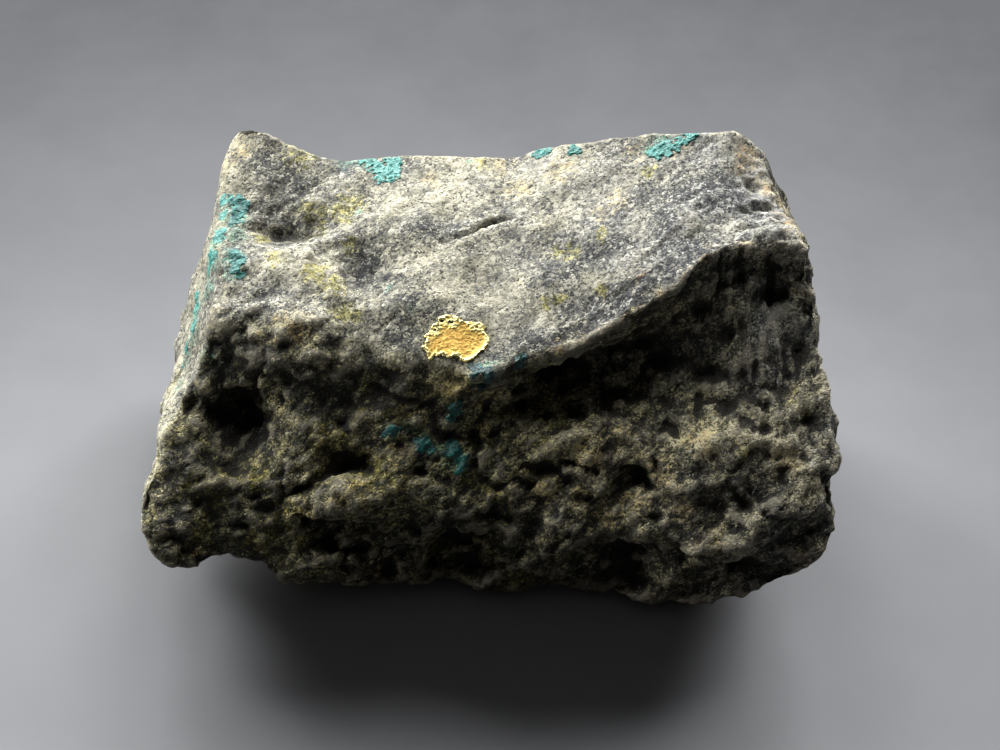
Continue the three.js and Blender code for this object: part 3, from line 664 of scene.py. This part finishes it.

# For each crust: facing, thickness, paleness, and its patches (pixel across, pixel down, radius). The
# paleness is partly the crust's own, partly painted shade that makes the crusts on the front darker.
CRUSTS = {
    "back_left": (FACING_TOP, 0.2, 1.2, [
        (371, 162, 0.5), (378, 168, 0.62), (387, 171, 0.75), (394, 170, 0.72), (397, 163, 0.5),
        (390, 162, 0.5), (381, 177, 0.53), (390, 178, 0.45), (362, 161, 0.28),
    ]),
    "back_middle": (FACING_TOP, 0.15, 0.7, [
        (541, 150, 0.62), (538, 155, 0.45), (546, 145, 0.43), (575, 150, 0.45), (571, 153, 0.3),
    ]),
    "back_right": (FACING_TOP, 0.26, 0.7, [
        (654, 153, 0.53), (661, 149, 0.55), (668, 146, 0.53), (659, 158, 0.4), (667, 154, 0.38),
        (676, 147, 0.45), (683, 141, 0.43), (689, 137, 0.43), (695, 134, 0.33),
    ]),
    "edge_back": (FACING_EDGE, 0.18, 0.5, [
        (236, 200, 0.62), (239, 207, 0.58), (235, 214, 0.53), (236, 222, 0.45),
    ]),
    "edge_front": (FACING_EDGE, 0.18, 0.45, [
        (236, 254, 0.5), (237, 261, 0.55), (234, 268, 0.47), (239, 274, 0.35),
    ]),
    "face_upper": (FACING_FACE, 0.06, 1.1, [
        (223, 200, 0.53), (220, 216, 0.45), (217, 236, 0.62), (212, 258, 0.58), (209, 272, 0.43),
    ]),
    "face_middle": (FACING_FACE, 0.06, 1.1, [
        (199, 297, 0.43), (197, 309, 0.58), (194, 326, 0.55),
    ]),
    "face_lower": (FACING_FACE, 0.06, 1, [
        (187, 347, 0.43), (184, 364, 0.5),
    ]),
    "under_gold": (FACING_EYE, 0.12, -0.35, [
        (478, 370, 0.48), (486, 373, 0.5), (488, 381, 0.46), (481, 387, 0.4), (471, 367, 0.26),
        (473, 376, 0.3),
    ]),
    "lip": (FACING_EYE, 0.1, -0.4, [
        (520, 362, 0.47), (524, 357, 0.35), (516, 367, 0.3),
    ]),
    "front_upper": (FACING_EYE, 0.1, 0.1, [
        (455, 409, 0.55), (452, 416, 0.43), (459, 404, 0.33),
    ]),
    "front_left": (FACING_EYE, 0.09, 0.05, [
        (392, 432, 0.43), (398, 429, 0.3), (386, 434, 0.28),
    ]),
    "front_middle": (FACING_EYE, 0.1, 0, [
        (424, 444, 0.55), (416, 440, 0.35), (431, 449, 0.4), (421, 450, 0.3),
    ]),
    "front_lower": (FACING_EYE, 0.12, 0.1, [
        (454, 450, 0.68), (450, 443, 0.45), (460, 457, 0.53), (463, 466, 0.38), (457, 472, 0.25),
    ]),
}


def crust_field(lay, patches):
    """1 in the middle of each patch as seen along the facing direction, 0 at its edge, less outside."""
    field = np.full(lay.u.shape, -1.0)
    for *centre, radius in patches:
        across, up = lay.spot(centre)
        field = np.maximum(field, 1 - np.hypot(lay.u - across, lay.v - up) / radius)
    return field.ravel()


def crust_mesh(tree, sight, name, facing, thickness, paleness_and_shade, patches):
    patches = [(*sight.place(across, down), radius) for across, down, radius in patches]
    centres = np.array(patches)[:, :3]
    centre = centres.mean(axis=0)
    reach = np.linalg.norm(centres - centre, axis=1).max() + CRUST_MARGIN
    lay = Lay(tree, centre, facing, reach, CRUST_STEP)
    ground = np.where(np.isnan(lay.level), -DROP, lay.level)
    places = lay.places(ground).reshape(-1, 3)

    # Ragged at the edge, and made of small blocky crystals.
    ragged = 0.32 * rolling(places, 0.6, shift=3.0) + 0.28 * rolling(places, 0.25, shift=8.0) + 0.08
    field = crust_field(lay, patches) + ragged
    crystals = np.maximum(stepped(places, 0.24, shift=6.0), 0) * 0.5 + 0.6 * cobbled(places, 0.3, shift=4.0)
    height = thickness * (0.25 + crystals) * np.sqrt(np.clip(1.6 * field, 0.02, 1))
    level = ground + height.reshape(ground.shape)
    inside = (field > 0).reshape(ground.shape)
    cells = lay.cells(inside, ground)
    outer = lay.places(level).reshape(-1, 3)
    inner = lay.places(ground - CRUST_ROOT).reshape(-1, 3)
    mesh, origin = shell_mesh(name, outer, inner, cells, least=6)
    attribute(mesh, "paleness_and_shade", np.full(len(origin), paleness_and_shade))
    attribute(mesh, "thick", np.clip(crystals, 0, 1)[origin])
    return mesh


# -------------------- materials

class Finish:
    """A node material, with short calls for the nodes that it is made of."""

    def __init__(self, name):
        self.material = bpy.data.materials.new(name)
        self.material.use_nodes = True
        self.tree = self.material.node_tree
        self.shader = self.tree.nodes["Principled BSDF"]
        self.place = self.node("ShaderNodeTexCoord").outputs["Object"]
        self.place_mm = self.vector("SCALE", self.place, scale=1 / MM)

    def node(self, kind, inputs=None, **settings):
        made = self.tree.nodes.new(kind)
        for key, value in settings.items():
            setattr(made, key, value)
        for key, value in (inputs or {}).items():
            self.feed(made.inputs[key], value)
        return made

    def feed(self, socket, value):
        if isinstance(value, bpy.types.NodeSocket):
            self.tree.links.new(value, socket)
        else:
            socket.default_value = value

    def drive(self, name, value):
        """Sets or links one of the shader's own inputs."""
        self.feed(self.shader.inputs[name], value)

    def vector(self, operation, first, second=None, scale=None):
        inputs = {0: first}
        if second is not None:
            inputs[1] = second
        if scale is not None:
            inputs["Scale"] = scale
        return self.node("ShaderNodeVectorMath", inputs, operation=operation).outputs["Vector"]

    def math(self, operation, first, second=0.0, clamp=False):
        made = self.node("ShaderNodeMath", {0: first, 1: second}, operation=operation, use_clamp=clamp)
        return made.outputs[0]

    def total(self, *parts):
        """The sum of (value, weight) pairs."""
        result = 0.0
        for value, weight in parts:
            result = self.math("ADD", self.math("MULTIPLY", value, weight), result)
        return result

    def spread(self, value, low, high, to_low=0.0, to_high=1.0):
        inputs = {"Value": value, "From Min": low, "From Max": high, "To Min": to_low, "To Max": to_high}
        return self.node("ShaderNodeMapRange", inputs, interpolation_type="SMOOTHSTEP").outputs["Result"]

    def attribute(self, name):
        return self.node("ShaderNodeAttribute", attribute_name=name).outputs["Fac"]

    def noise(self, place, per_mm, detail=2.0, roughness=0.5):
        inputs = {"Vector": place, "Scale": per_mm, "Detail": detail, "Roughness": roughness}
        return self.node("ShaderNodeTexNoise", inputs).outputs["Fac"]

    def centred(self, place, per_mm, detail=2.0, roughness=0.5):
        """Noise about zero, mostly from -0.5 to 0.5."""
        return self.spread(self.noise(place, per_mm, detail, roughness), 0.25, 0.75, -0.5, 0.5)

    def grains(self, place, per_mm, feature="F1"):
        """Cells with a distance from their middles and three shares of their own."""
        made = self.node("ShaderNodeTexVoronoi", {"Vector": place, "Scale": per_mm}, feature=feature)
        shares = self.node("ShaderNodeSeparateColor", {"Color": made.outputs["Color"]}).outputs
        return made.outputs["Distance"], shares

    def mix(self, share, first, second, blend="MIX"):
        made = self.node("ShaderNodeMix", data_type="RGBA", blend_type=blend, clamp_factor=True)
        for socket, value in ((made.inputs[0], share), (made.inputs[6], first), (made.inputs[7], second)):
            self.feed(socket, value)
        return made.outputs[2]

    def stops(self, value, colours):
        made = self.node("ShaderNodeValToRGB", {"Fac": value})
        elements = made.color_ramp.elements
        while len(elements) < len(colours):
            elements.new(1.0)
        for element, (position, colour) in zip(elements, colours):
            element.position = position
            element.color = (*colour, 1)
        return made.outputs["Color"]

    def bump(self, height, distance, normal=None, strength=1.0):
        inputs = {"Height": height, "Distance": distance * MM, "Strength": strength}
        if normal is not None:
            inputs["Normal"] = normal
        return self.node("ShaderNodeBump", inputs).outputs["Normal"]


# The front's tones run darker than the top's: partly the front's own darker rock, partly painted shade.
TOP_TONES = [(0.0, (0.008, 0.009, 0.011)), (0.22, (0.052, 0.054, 0.058)), (0.45, (0.165, 0.165, 0.155)),
             (0.68, (0.30, 0.292, 0.255)), (1.0, (0.54, 0.52, 0.46))]
FRONT_TONES = [(0.0, (0.004, 0.004, 0.004)), (0.30, (0.028, 0.027, 0.022)), (0.55, (0.115, 0.110, 0.078)),
               (0.80, (0.31, 0.285, 0.19)), (1.0, (0.60, 0.55, 0.40))]
MICA = (0.012, 0.013, 0.015, 1)
QUARTZ = (0.58, 0.57, 0.53, 1)
# What each stain multiplies the rock's colour by, what it adds, and how strongly it shows.
TINTS = {
    "beige": ((1.15, 1.02, 0.78, 1), (0.045, 0.036, 0.019, 1), 0.8),
    "epidote": ((1.15, 1.10, 0.42, 1), (0.030, 0.027, 0.001, 1), 0.75),
    "rust": ((1.1, 0.80, 0.50, 1), (0.020, 0.009, 0.002, 1), 0.6),
    "copper": ((0.45, 0.95, 0.90, 1), (0.0, 0.022, 0.019, 1), 0.8),
}
# Near-black painted shade for the hollows.
HOLLOW_SHADE = (0.016, 0.014, 0.010, 1)
EARTH = (0.12, 0.085, 0.05, 1)


def rock_finish():
    finish = Finish("rock_finish")
    place = finish.place_mm
    field = finish.attribute

    # Grains lie in the rock's sheets, a little longer along them than across.
    turned = finish.node("ShaderNodeMapping", {"Vector": place, "Rotation": (0.0, -0.30, 0.43),
                                               "Scale": (1.2, 0.95, 1.0)}, vector_type="TEXTURE")
    foliated = turned.outputs["Vector"]
    waver = finish.node("ShaderNodeTexNoise", {"Vector": place, "Scale": 3.5, "Detail": 2.0})
    waver = finish.vector("SUBTRACT", waver.outputs["Color"], (0.5, 0.5, 0.5))
    grain_place = finish.vector("ADD", foliated, finish.vector("SCALE", waver, scale=0.2))

    fine_distance, fine = finish.grains(grain_place, 8.5)
    middle_distance, middle = finish.grains(grain_place, 3.3)
    dust = finish.centred(foliated, 9.0, 2.0)
    mottle = finish.centred(foliated, 1.3, 3.0, 0.6)
    zone = finish.centred(place, 0.32, 3.0)
    across, back, height = finish.node("ShaderNodeSeparateXYZ", {0: place}).outputs
    flat = finish.math("MAXIMUM", field("top"), field("left"))
    front = finish.math("SUBTRACT", 1.0, flat)

    # The flat top and left face take paler tones than the front: partly their own paler rock, partly painted
    # shade on the front.
    tone = finish.total((fine[0], 0.42), (middle[0], 0.26), (dust, 0.12), (mottle, 0.27), (zone, 0.16),
                        (field("pale"), 0.30), (field("dark_and_shade"), -0.26))
    flat_tone = finish.math("ADD", tone, 0.15)
    raised = finish.spread(height, 4.0, 16.0)
    front_tone = finish.total((tone, 1.15), (mottle, 0.38), (zone, 0.12), (raised, 0.11),
                              (field("pale"), 0.12), (field("beige"), 0.26))
    front_tone = finish.math("ADD", front_tone, 0.02)
    colour = finish.mix(flat, finish.stops(front_tone, FRONT_TONES), finish.stops(flat_tone, TOP_TONES))

    # Flakes of black mica in swarms, and a few white grains.
    swarm = finish.total((fine[1], 0.7), (middle[1], 0.3), (zone, 0.18), (mottle, 0.22),
                         (field("dark_and_shade"), 0.12), (field("pale"), -0.10), (front, 0.04))
    colour = finish.mix(finish.spread(swarm, 0.66, 0.78, 0.0, 0.85), colour, MICA)
    bright = finish.total((middle[2], 0.7), (fine[2], 0.3), (front, -0.12), (mottle, 0.1))
    colour = finish.mix(finish.spread(bright, 0.74, 0.84, 0.0, 0.65), colour, QUARTZ)

    # The rock is warmer towards the left, and its front there is olive.
    leftward = finish.total((finish.spread(across, 32.0, -8.0), 1.0), (zone, 0.5))
    olive = finish.math("MULTIPLY", front, finish.spread(back, 8.0, 0.0))
    warm = finish.mix(olive, (1.06, 1.02, 0.84, 1), (1.04, 1.0, 0.66, 1))
    colour = finish.mix(leftward, colour, finish.mix(1.0, colour, warm, blend="MULTIPLY"))

    # Yellow-green epidote, beige, rust and copper stains, each scattered grain by grain at its edge.
    ragged = finish.centred(place, 1.7, 4.0, 0.65)
    own_grain = {"beige": middle[0], "epidote": middle[1], "rust": middle[2], "copper": fine[0]}
    for name, (tint, glow, strength) in TINTS.items():
        grain = own_grain[name]
        amount = finish.total((field(name), 0.9), (grain, 0.7), (fine[2], 0.35), (ragged, 0.5))
        share = finish.math("MULTIPLY", finish.spread(amount, 0.85, 1.35, 0.0, strength),
                            finish.spread(field(name), 0.0, 0.2))
        dyed = finish.mix(1.0, finish.mix(1.0, colour, tint, blend="MULTIPLY"), glow, blend="ADD")
        colour = finish.mix(share, colour, dyed)

    # Earth along the foot, painted shade in the hollows, strongest on the front, and edges worn paler.
    patchy = finish.spread(ragged, -0.3, 0.3, 0.1, 0.7)
    foot = finish.math("MULTIPLY", finish.spread(height, 3.2, 1.0), patchy)
    colour = finish.mix(foot, colour, EARTH)
    wide = finish.spread(field("hollow_wide"), 0.05, 0.7)
    small = finish.spread(field("hollow_small"), 0.02, 0.13)
    hollow_shade_share = finish.spread(front, 0.0, 1.0, 0.45, 0.85)
    colour = finish.mix(finish.math("MULTIPLY", wide, hollow_shade_share), colour, HOLLOW_SHADE)
    colour = finish.mix(finish.math("MULTIPLY", small, hollow_shade_share), colour, HOLLOW_SHADE)
    worn = finish.spread(field("hollow_small"), -0.03, -0.14, 0.0, 0.22)
    colour = finish.mix(worn, colour, (0.58, 0.52, 0.38, 1))
    finish.drive("Base Color", colour)

    # Some grains are glassy, most are dull.
    glassy = finish.spread(fine[2], 0.80, 0.88)
    finish.drive("Roughness", finish.spread(glassy, 0.0, 1.0, 0.78, 0.42))
    finish.drive("Specular IOR Level", 0.35)

    worn_flat = finish.spread(front, 0.0, 1.0, 0.35, 1.0)
    powder = finish.bump(dust, 0.04, strength=worn_flat)
    lumps = finish.bump(finish.math("MULTIPLY", middle_distance, -1.0), 0.06, powder, worn_flat)
    lumps = finish.bump(finish.math("MULTIPLY", fine_distance, -1.0), 0.04, lumps, worn_flat)
    uneven = finish.bump(finish.noise(place, 1.8, 4.0), 0.20, lumps, worn_flat)
    finish.drive("Normal", uneven)
    return finish.material


GOLD_TONES = [(0.0, (0.44, 0.25, 0.05)), (0.35, (0.67, 0.47, 0.12)), (0.8, (0.95, 0.83, 0.36))]


def gold_finish():
    finish = Finish("gold_finish")
    place = finish.place_mm
    wrinkles = finish.centred(place, 4.5, 4.0, 0.6)
    bright = finish.total((finish.attribute("rim"), 0.60), (finish.attribute("tops"), 0.35), (wrinkles, 0.35))
    colour = finish.stops(bright, GOLD_TONES)

    # Dark green specks of rock stuck to the upper part.
    specks = finish.total((finish.centred(place, 3.6, 3.0), 1.0), (finish.attribute("upper"), 0.45),
                          (finish.attribute("rim"), 0.12))
    speck = finish.spread(specks, 0.70, 0.80)
    colour = finish.mix(speck, colour, (0.035, 0.06, 0.03, 1))
    finish.drive("Base Color", colour)
    finish.drive("Metallic", finish.spread(speck, 0.0, 1.0, 0.65, 0.0))
    polished = finish.spread(finish.attribute("tops"), 0.2, 1.0, 0.52, 0.34)
    finish.drive("Roughness", polished)
    folds = finish.bump(finish.noise(place, 9.0, 3.0), 0.04)
    finish.drive("Normal", finish.bump(finish.noise(place, 3.6, 3.0), 0.10, folds))
    return finish.material


def atacamite_finish():
    finish = Finish("atacamite_finish")
    place = finish.place_mm
    _, crystals = finish.grains(place, 6.0)
    cloud = finish.centred(place, 2.2, 4.0, 0.6)
    # Paleness sets each crust's own tone, and on the front crusts it is also painted shade.
    shade = finish.total((crystals[0], 0.35), (cloud, 0.35), (finish.attribute("thick"), 0.25),
                         (finish.attribute("paleness_and_shade"), 0.35))
    colour = finish.stops(shade, [(0.05, (0.003, 0.022, 0.021)), (0.35, (0.010, 0.125, 0.105)),
                                  (0.65, (0.04, 0.26, 0.215)), (1.0, (0.26, 0.52, 0.43))])
    bare = finish.total((crystals[1], 1.0), (cloud, 0.3), (finish.attribute("paleness_and_shade"), -0.1))
    colour = finish.mix(finish.spread(bare, 0.96, 1.04, 0.0, 0.7), colour, (0.16, 0.16, 0.13, 1))
    finish.drive("Base Color", colour)
    finish.drive("Roughness", 0.45)
    facets = finish.bump(finish.grains(place, 6.0)[0], 0.05)
    finish.drive("Normal", finish.bump(finish.noise(place, 5.0, 3.0), 0.06, facets))
    return finish.material


# -------------------- floor, light and camera

FLOOR_SIZE = 900
# The floor is painted palest near the front left and fades to dark far off: a painted pool of light, with
# faint real mottling.
FLOOR_NEAR = (0.62, 0.625, 0.64, 1)
FLOOR_FAR = (0.10, 0.105, 0.116, 1)
FLOOR_LIT_CENTRE = (-10, -45, 0)

# Soft patches of light low behind the piece: how far round from straight behind (left is below zero) and
# how high up, in degrees, the angles within which each is full and beyond which it is gone, and brightness.
PATCHES = [
    (-38, 23, 4, 15, 20.0), (-13, 22, 4, 15, 17.0), (13, 22, 4, 15, 17.0), (38, 23, 4, 15, 20.0),
]
# Softboxes that light the piece and not the floor: how far round, how high up, width and power.
SOFTBOX_AIM = (0, -5, 12)
SOFTBOX_DISTANCE = 450
SOFTBOXES = {
    "softbox_above": (0, 61, 300, 2.2),
    "softbox_left": (-72, 26, 260, 2.6),
}
ROOM_LIGHT = (0.005, 0.03)
SKY_TINT = (0.97, 0.98, 1.0, 1)


def look_at(piece, target):
    piece.rotation_euler = (Vector(target) * MM - piece.location).to_track_quat("-Z", "Y").to_euler()


def add_floor():
    mesh = bpy.data.meshes.new("floor")
    half = FLOOR_SIZE / 2 * MM
    corners = [(-half, -half, 0), (half, -half, 0), (half, half, 0), (-half, half, 0)]
    mesh.from_pydata(corners, [], [(0, 1, 2, 3)])
    floor = add_object("floor", mesh)
    finish = Finish("floor_finish")
    away = finish.node("ShaderNodeVectorMath", {0: finish.place_mm, 1: FLOOR_LIT_CENTRE}, operation="DISTANCE")
    cloudy = finish.total((finish.centred(finish.place_mm, 0.035, 3.0), 0.06),
                          (finish.centred(finish.place_mm, 0.15, 3.0, 0.6), 0.04))
    # Painted pool of light: paler close to its centre, darker away from it.
    away = finish.math("ADD", finish.spread(away.outputs["Value"], 5.0, 125.0), cloudy)
    finish.drive("Base Color", finish.mix(away, FLOOR_NEAR, FLOOR_FAR))
    finish.drive("Roughness", 0.8)
    mesh.materials.append(finish.material)


def add_daylight():
    """A dim room with four soft patches of light low behind the piece."""
    world = bpy.data.worlds.new("daylight")
    world.use_nodes = True
    nodes, links = world.node_tree.nodes, world.node_tree.links
    direction = nodes.new("ShaderNodeTexCoord").outputs["Generated"]

    def fade(value, low, high, to_low, to_high):
        made = nodes.new("ShaderNodeMapRange")
        made.interpolation_type = "SMOOTHSTEP"
        links.new(value, made.inputs["Value"])
        for socket, level in (("From Min", low), ("From Max", high), ("To Min", to_low), ("To Max", to_high)):
            made.inputs[socket].default_value = level
        return made.outputs["Result"]

    parts = nodes.new("ShaderNodeSeparateXYZ")
    links.new(direction, parts.inputs[0])
    light = fade(parts.outputs["Z"], -0.1, 1.0, *ROOM_LIGHT)
    for around, up, full, gone, brightness in PATCHES:
        around, up, full, gone = map(math.radians, (around, up, full, gone))
        toward = nodes.new("ShaderNodeVectorMath")
        toward.operation = "DOT_PRODUCT"
        toward.inputs[1].default_value = (math.sin(around) * math.cos(up), math.cos(around) * math.cos(up),
                                          math.sin(up))
        links.new(direction, toward.inputs[0])
        total = nodes.new("ShaderNodeMath")
        total.operation = "ADD"
        links.new(light, total.inputs[0])
        patch = fade(toward.outputs["Value"], math.cos(gone), math.cos(full), 0.0, brightness)
        links.new(patch, total.inputs[1])
        light = total.outputs[0]
    sky = nodes["Background"]
    sky.inputs["Color"].default_value = SKY_TINT
    links.new(light, sky.inputs["Strength"])
    bpy.context.scene.world = world


def add_softbox(name, around, up, width, power):
    light = bpy.data.lights.new(name, "AREA")
    light.size = width * MM
    light.energy = power
    light.color = SKY_TINT[:3]
    box = bpy.data.objects.new(name, light)
    around, up = math.radians(around), math.radians(up)
    toward = Vector((math.sin(around) * math.cos(up), math.cos(around) * math.cos(up), math.sin(up)))
    box.location = (Vector(SOFTBOX_AIM) + toward * SOFTBOX_DISTANCE) * MM
    look_at(box, SOFTBOX_AIM)
    bpy.context.scene.collection.objects.link(box)
    box.light_linking.receiver_collection = lit_pieces


def add_camera():
    data = bpy.data.cameras.new("camera")
    data.lens = CAMERA_LENS
    data.sensor_width = SENSOR_WIDTH
    data.clip_start = 0.005
    camera = bpy.data.objects.new("camera", data)
    camera.location = CAMERA_PLACE * MM
    look_at(camera, CAMERA_AIM)
    bpy.context.scene.collection.objects.link(camera)
    bpy.context.scene.camera = camera


# -------------------- the piece

rock_mesh = subdivided_copy(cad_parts["rock"], "rock_matrix", levels=2)
rock_sight = Sight(points_of(rock_mesh), rock_mesh)
fine_rock(rock_mesh, rock_sight)
rock_tree = search_tree(points_of(rock_mesh), rock_mesh)
add_piece("rock_matrix", rock_mesh, rock_finish(), "rock")
add_piece("gold_flake", gold_mesh(rock_tree, rock_sight), gold_finish(), "gold_leaf")
crust_finish = atacamite_finish()
for crust_name, crust in CRUSTS.items():
    node_name = "atacamite_" + crust_name
    crust_piece = crust_mesh(rock_tree, rock_sight, node_name + "_crust", *crust)
    add_piece(node_name + "_crust", crust_piece, crust_finish, node_name)
add_floor()
add_daylight()
for softbox, setting in SOFTBOXES.items():
    add_softbox(softbox, *setting)
add_camera()
bpy.context.scene.view_settings.view_transform = "Standard"
